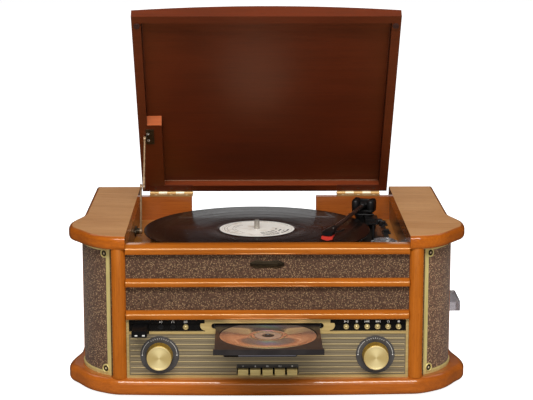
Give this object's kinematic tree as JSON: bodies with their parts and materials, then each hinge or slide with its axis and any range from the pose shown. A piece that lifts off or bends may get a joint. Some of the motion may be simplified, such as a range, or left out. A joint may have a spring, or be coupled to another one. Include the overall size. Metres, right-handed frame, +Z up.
{
  "type": "stereo music centre",
  "caption": "Wooden retro music centre: lidded turntable, sliding disc tray, side cassette slot, USB port, radio knobs, push buttons and bowed side speakers.",
  "frame": {"origin": "on the surface it stands on, under the middle of its outline with the disc tray out", "axes": "+X to the cabinet's right seen from the front, +Y to its back, +Z up"},
  "size_m": [0.5145, 0.4557, 0.4821],
  "materials": {
    "frame_wood": "glossy varnish over honey-orange wood",
    "cap_wood": "satin tan-brown wood with fine cross grain",
    "plinth_wood": "satin varnish over orange-brown wood",
    "side_wood": "satin varnish",
    "back_board": "plain board, reddish stain",
    "lid_wood": "dark red-brown satin varnish",
    "speaker_cloth": "brown woven cloth with gold flecks",
    "grille_metal": "satin brass edging",
    "gold_trim": "satin gold",
    "stripe_metal": "olive-brown plate with raised gold lines",
    "fascia_black": "gloss black",
    "deck_wood": "golden wood top under a satin varnish",
    "display_window": "dark window over a blue-grey display",
    "knob_brass": "spun face, knurled side",
    "button_metal": "pale gold plating",
    "key_metal": "pale metal plating",
    "steel": "plain",
    "hinge_brass": "plain",
    "platter_metal": "dark coated",
    "mat_rubber": "ribbed",
    "vinyl": "grooved vinyl with a cream centre label",
    "arm_black": "satin black",
    "tray_charcoal": "charcoal brown",
    "disc_silver": "iridescent data side down, pale print side up",
    "cassette_clear": "clear-grey shell",
    "usb_black": "gloss black with a steel plug",
    "rubber_black": "plain",
    "felt_dark": "soft bumpers",
    "cone_paper": "coated paper cone and steel basket",
    "circuit_green": "circuit board",
    "mechanism_grey": "moulded housing",
    "motor_steel": "zinc-plated can",
    "cover_black": "vented cover"
  },
  "bodies": {
    "cabinet": {"base_plinth": "plinth_wood", "rubber_feet": "rubber_black", "side_walls": "side_wood", "rear_panel": "back_board", "rear_cover": "cover_black", "top_caps": "cap_wood", "front_frame": "frame_wood", "cloth_panels": "speaker_cloth", "speaker_grilles": "speaker_cloth", "grille_frames": "grille_metal", "speakers": "cone_paper", "fascia_panel": "fascia_black", "stripe_plate": "stripe_metal", "fascia_trim": "gold_trim", "display_window": "display_window", "circuit_boards": "circuit_green", "transformer": "motor_steel", "cd_mechanism": "mechanism_grey", "cassette_deck": "mechanism_grey", "deck": "deck_wood", "spindle": "steel", "motor": "motor_steel", "drive_belt": "rubber_black", "tonearm_base": "arm_black", "hinge_cabinet_leaves": "hinge_brass", "stay_wall_bracket": "steel"},
    "lid": {"lid_frame": "lid_wood", "lid_panel": "lid_wood", "lid_bumpers": "felt_dark", "hinge_lid_leaves": "hinge_brass", "stay_lid_bracket": "steel"},
    "stay_lower": {"stay_lower_link": "steel"},
    "stay_upper": {"stay_upper_link": "steel"},
    "turntable": {"platter": "platter_metal", "platter_mat": "mat_rubber", "record": "vinyl"},
    "pulley": {"motor_pulley": "knob_brass"},
    "tonearm_turret": {"tonearm_yoke": "arm_black"},
    "arm": {"tonearm": "arm_black"},
    "cue": {"cue_lever": "arm_black"},
    "speed_slider": {"speed_switch": "arm_black"},
    "stop_slider": {"stop_switch": "arm_black"},
    "tray": {"disc_tray": "tray_charcoal", "compact_disc": "disc_silver"},
    "tape": {"cassette": "cassette_clear"},
    "stick": {"usb_stick": "usb_black"},
    "volume": {"volume_knob": "knob_brass"},
    "tuning": {"tuning_knob": "knob_brass"},
    "function": {"function_button": "button_metal"},
    "button_1": {"deck_button_1": "button_metal"},
    "button_2": {"deck_button_2": "button_metal"},
    "button_3": {"deck_button_3": "button_metal"},
    "button_4": {"deck_button_4": "button_metal"},
    "button_5": {"deck_button_5": "button_metal"},
    "button_6": {"deck_button_6": "button_metal"},
    "key_1": {"piano_key_1": "key_metal"},
    "key_2": {"piano_key_2": "key_metal"},
    "key_3": {"piano_key_3": "key_metal"},
    "key_4": {"piano_key_4": "key_metal"},
    "key_5": {"piano_key_5": "key_metal"}
  },
  "joints": [
    {"name": "lid_hinge", "type": "hinge", "parent": "cabinet", "child": "lid", "pos_m": [0, 0.2132, 0.19975], "axis": [-1, 0, 0], "range_deg": [-53, 0]},
    {"name": "stay_lower_pivot", "type": "hinge", "parent": "cabinet", "child": "stay_lower", "pos_m": [-0.1702, 0.0872, 0.1716], "axis": [-1, 0, 0], "range_deg": [-95.2, 0]},
    {"name": "stay_upper_pivot", "type": "hinge", "parent": "lid", "child": "stay_upper", "pos_m": [-0.1664, 0.14, 0.28983], "axis": [-1, 0, 0], "range_deg": [0, 99.2]},
    {"name": "platter_spin", "type": "hinge", "parent": "cabinet", "child": "turntable", "pos_m": [-0.0123, 0.0464, 0.175], "axis": [0, 0, 1], "continuous": true},
    {"name": "pulley_spin", "type": "hinge", "parent": "cabinet", "child": "pulley", "pos_m": [-0.09432, 0.12842, 0.171], "axis": [0, 0, 1], "continuous": true},
    {"name": "tonearm_swing", "type": "hinge", "parent": "cabinet", "child": "tonearm_turret", "pos_m": [0.138, 0.1502, 0.195], "axis": [0, 0, 1], "range_deg": [-20, 19.5]},
    {"name": "tonearm_lift", "type": "hinge", "parent": "tonearm_turret", "child": "arm", "pos_m": [0.138, 0.1502, 0.195], "axis": [-0.9532, 0.3024, 0], "range_deg": [0, 15]},
    {"name": "cue_lever_pivot", "type": "hinge", "parent": "cabinet", "child": "cue", "pos_m": [0.1585, 0.1262, 0.176], "axis": [-1, 0, 0], "range_deg": [0, 40]},
    {"name": "speed_switch_slide", "type": "slide", "parent": "cabinet", "child": "speed_slider", "axis": [0, 1, 0], "range_m": [0, 0.005]},
    {"name": "stop_switch_slide", "type": "slide", "parent": "cabinet", "child": "stop_slider", "axis": [0, 1, 0], "range_m": [0, 0.005]},
    {"name": "tray_slide", "type": "slide", "parent": "cabinet", "child": "tray", "axis": [0, 1, 0], "range_m": [0, 0.1092]},
    {"name": "cassette_slide", "type": "slide", "parent": "cabinet", "child": "tape", "axis": [1, 0, 0], "range_m": [0, 0.06]},
    {"name": "usb_pull", "type": "slide", "parent": "cabinet", "child": "stick", "axis": [0, -1, 0], "range_m": [0, 0.012]},
    {"name": "volume_turn", "type": "hinge", "parent": "cabinet", "child": "volume", "pos_m": [-0.136, -0.1218, 0.055], "axis": [0, 1, 0], "range_deg": [-150, 150]},
    {"name": "tuning_turn", "type": "hinge", "parent": "cabinet", "child": "tuning", "pos_m": [0.136, -0.1218, 0.055], "axis": [0, 1, 0], "range_deg": [-150, 150]},
    {"name": "function_press", "type": "slide", "parent": "cabinet", "child": "function", "axis": [0, 1, 0], "range_m": [0, 0.0012], "stiffness_N_per_m": 400, "springref_m": -0.0005},
    {"name": "button_1_press", "type": "slide", "parent": "cabinet", "child": "button_1", "axis": [0, 1, 0], "range_m": [0, 0.0012], "stiffness_N_per_m": 400, "springref_m": -0.0005},
    {"name": "button_2_press", "type": "slide", "parent": "cabinet", "child": "button_2", "axis": [0, 1, 0], "range_m": [0, 0.0012], "stiffness_N_per_m": 400, "springref_m": -0.0005},
    {"name": "button_3_press", "type": "slide", "parent": "cabinet", "child": "button_3", "axis": [0, 1, 0], "range_m": [0, 0.0012], "stiffness_N_per_m": 400, "springref_m": -0.0005},
    {"name": "button_4_press", "type": "slide", "parent": "cabinet", "child": "button_4", "axis": [0, 1, 0], "range_m": [0, 0.0012], "stiffness_N_per_m": 400, "springref_m": -0.0005},
    {"name": "button_5_press", "type": "slide", "parent": "cabinet", "child": "button_5", "axis": [0, 1, 0], "range_m": [0, 0.0012], "stiffness_N_per_m": 400, "springref_m": -0.0005},
    {"name": "button_6_press", "type": "slide", "parent": "cabinet", "child": "button_6", "axis": [0, 1, 0], "range_m": [0, 0.0012], "stiffness_N_per_m": 400, "springref_m": -0.0005},
    {"name": "key_1_press", "type": "slide", "parent": "cabinet", "child": "key_1", "axis": [0, 1, 0], "range_m": [0, 0.003], "stiffness_N_per_m": 400, "springref_m": -0.0005},
    {"name": "key_2_press", "type": "slide", "parent": "cabinet", "child": "key_2", "axis": [0, 1, 0], "range_m": [0, 0.003], "stiffness_N_per_m": 400, "springref_m": -0.0005},
    {"name": "key_3_press", "type": "slide", "parent": "cabinet", "child": "key_3", "axis": [0, 1, 0], "range_m": [0, 0.003], "stiffness_N_per_m": 400, "springref_m": -0.0005},
    {"name": "key_4_press", "type": "slide", "parent": "cabinet", "child": "key_4", "axis": [0, 1, 0], "range_m": [0, 0.003], "stiffness_N_per_m": 400, "springref_m": -0.0005},
    {"name": "key_5_press", "type": "slide", "parent": "cabinet", "child": "key_5", "axis": [0, 1, 0], "range_m": [0, 0.003], "stiffness_N_per_m": 400, "springref_m": -0.0005}
  ],
  "couplings": [
    {"joint": "stay_lower_pivot", "follows": "lid_hinge", "ratio": 1.7957},
    {"joint": "stay_upper_pivot", "follows": "lid_hinge", "ratio": -1.8715},
    {"joint": "pulley_spin", "follows": "platter_spin", "ratio": 14.286}
  ]
}
